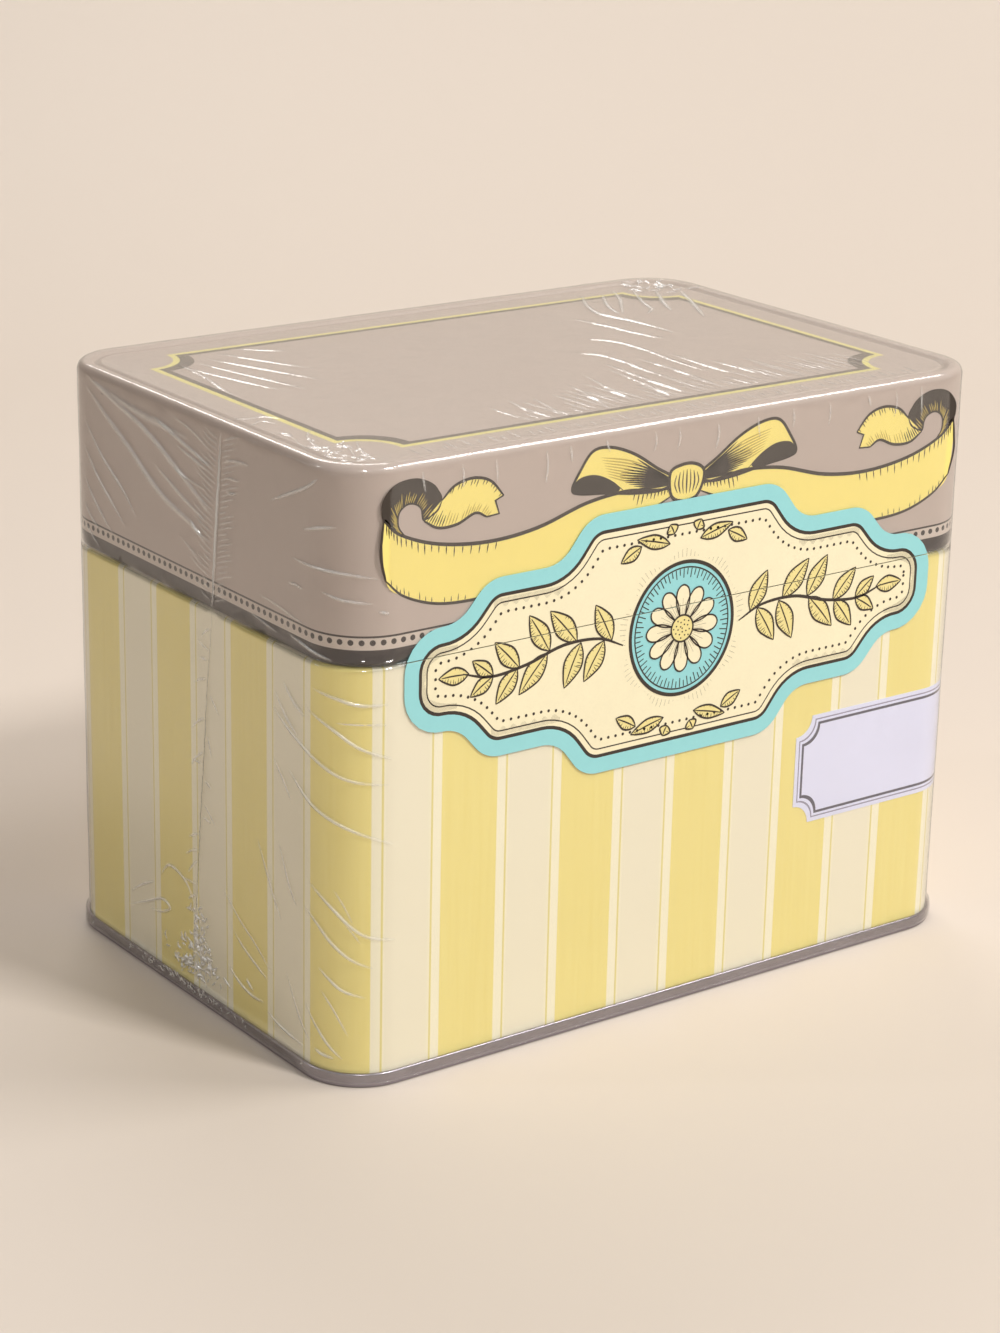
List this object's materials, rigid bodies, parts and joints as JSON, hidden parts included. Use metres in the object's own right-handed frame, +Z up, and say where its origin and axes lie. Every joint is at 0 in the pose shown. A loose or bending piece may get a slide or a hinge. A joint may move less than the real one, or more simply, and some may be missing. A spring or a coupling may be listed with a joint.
{
  "type": "recipe box",
  "caption": "Hinged tin recipe box with rolled base seam, printed stripes, paper sticker and label, shrink film, tabbed dividers and packs of recipe cards.",
  "frame": {"origin": "under the middle of the box, on the plane its base seam stands on", "axes": "+Z up, -Y out of the front that carries the sticker, +X to the right along the long side; the hinge runs along the back"},
  "size_m": [0.1704, 0.1164, 0.1313],
  "materials": {
    "printed_body": "satin print, yellow and cream stripes",
    "printed_lid": "satin print, warm taupe",
    "bare_tinplate": "bright rolled tinplate",
    "bright_wire": "bright drawn wire",
    "label_paper": "smooth coated paper",
    "sticker_paper": "semi-gloss coated paper",
    "clear_film": "clear gloss shrink film",
    "card_stock": "matt uncoated card",
    "divider_board": "matt coloured board"
  },
  "bodies": {
    "box": {"body_wall": "printed_body", "base_end": "bare_tinplate", "hinge_tab_left": "bare_tinplate", "hinge_tab_right": "bare_tinplate", "hinge_rivets": "bare_tinplate", "corner_label": "label_paper", "sticker_lower": "sticker_paper", "film_lower": "clear_film"},
    "lid": {"lid_shell": "printed_lid", "hinge_wire": "bright_wire", "sticker_upper": "sticker_paper", "film_upper": "clear_film"},
    "card_section_1": {"recipe_cards_1": "card_stock", "divider_1": "divider_board", "recipe_cards_2": "card_stock", "divider_2": "divider_board"},
    "card_section_2": {"recipe_cards_3": "card_stock", "divider_3": "divider_board", "recipe_cards_4": "card_stock", "divider_4": "divider_board"},
    "card_section_3": {"recipe_cards_5": "card_stock", "divider_5": "divider_board", "recipe_cards_6": "card_stock", "divider_6": "divider_board"},
    "card_section_4": {"recipe_cards_7": "card_stock", "divider_7": "divider_board", "recipe_cards_8": "card_stock", "divider_8": "divider_board"}
  },
  "joints": [
    {"name": "lid_hinge", "type": "hinge", "parent": "box", "child": "lid", "pos_m": [0, 0.0562, 0.0913], "axis": [-1, 0, 0], "range_deg": [0, 110]},
    {"name": "card_section_1_lean", "type": "hinge", "parent": "box", "child": "card_section_1", "pos_m": [0, 0.03966, 0.00459], "axis": [1, 0, 0], "range_deg": [0, 8]},
    {"name": "card_section_2_lean", "type": "hinge", "parent": "box", "child": "card_section_2", "pos_m": [0, 0.01361, 0.00459], "axis": [1, 0, 0], "range_deg": [0, 8]},
    {"name": "card_section_3_lean", "type": "hinge", "parent": "box", "child": "card_section_3", "pos_m": [0, -0.01243, 0.00459], "axis": [1, 0, 0], "range_deg": [0, 8]},
    {"name": "card_section_4_lean", "type": "hinge", "parent": "box", "child": "card_section_4", "pos_m": [0, -0.03848, 0.00459], "axis": [1, 0, 0], "range_deg": [0, 8]}
  ]
}
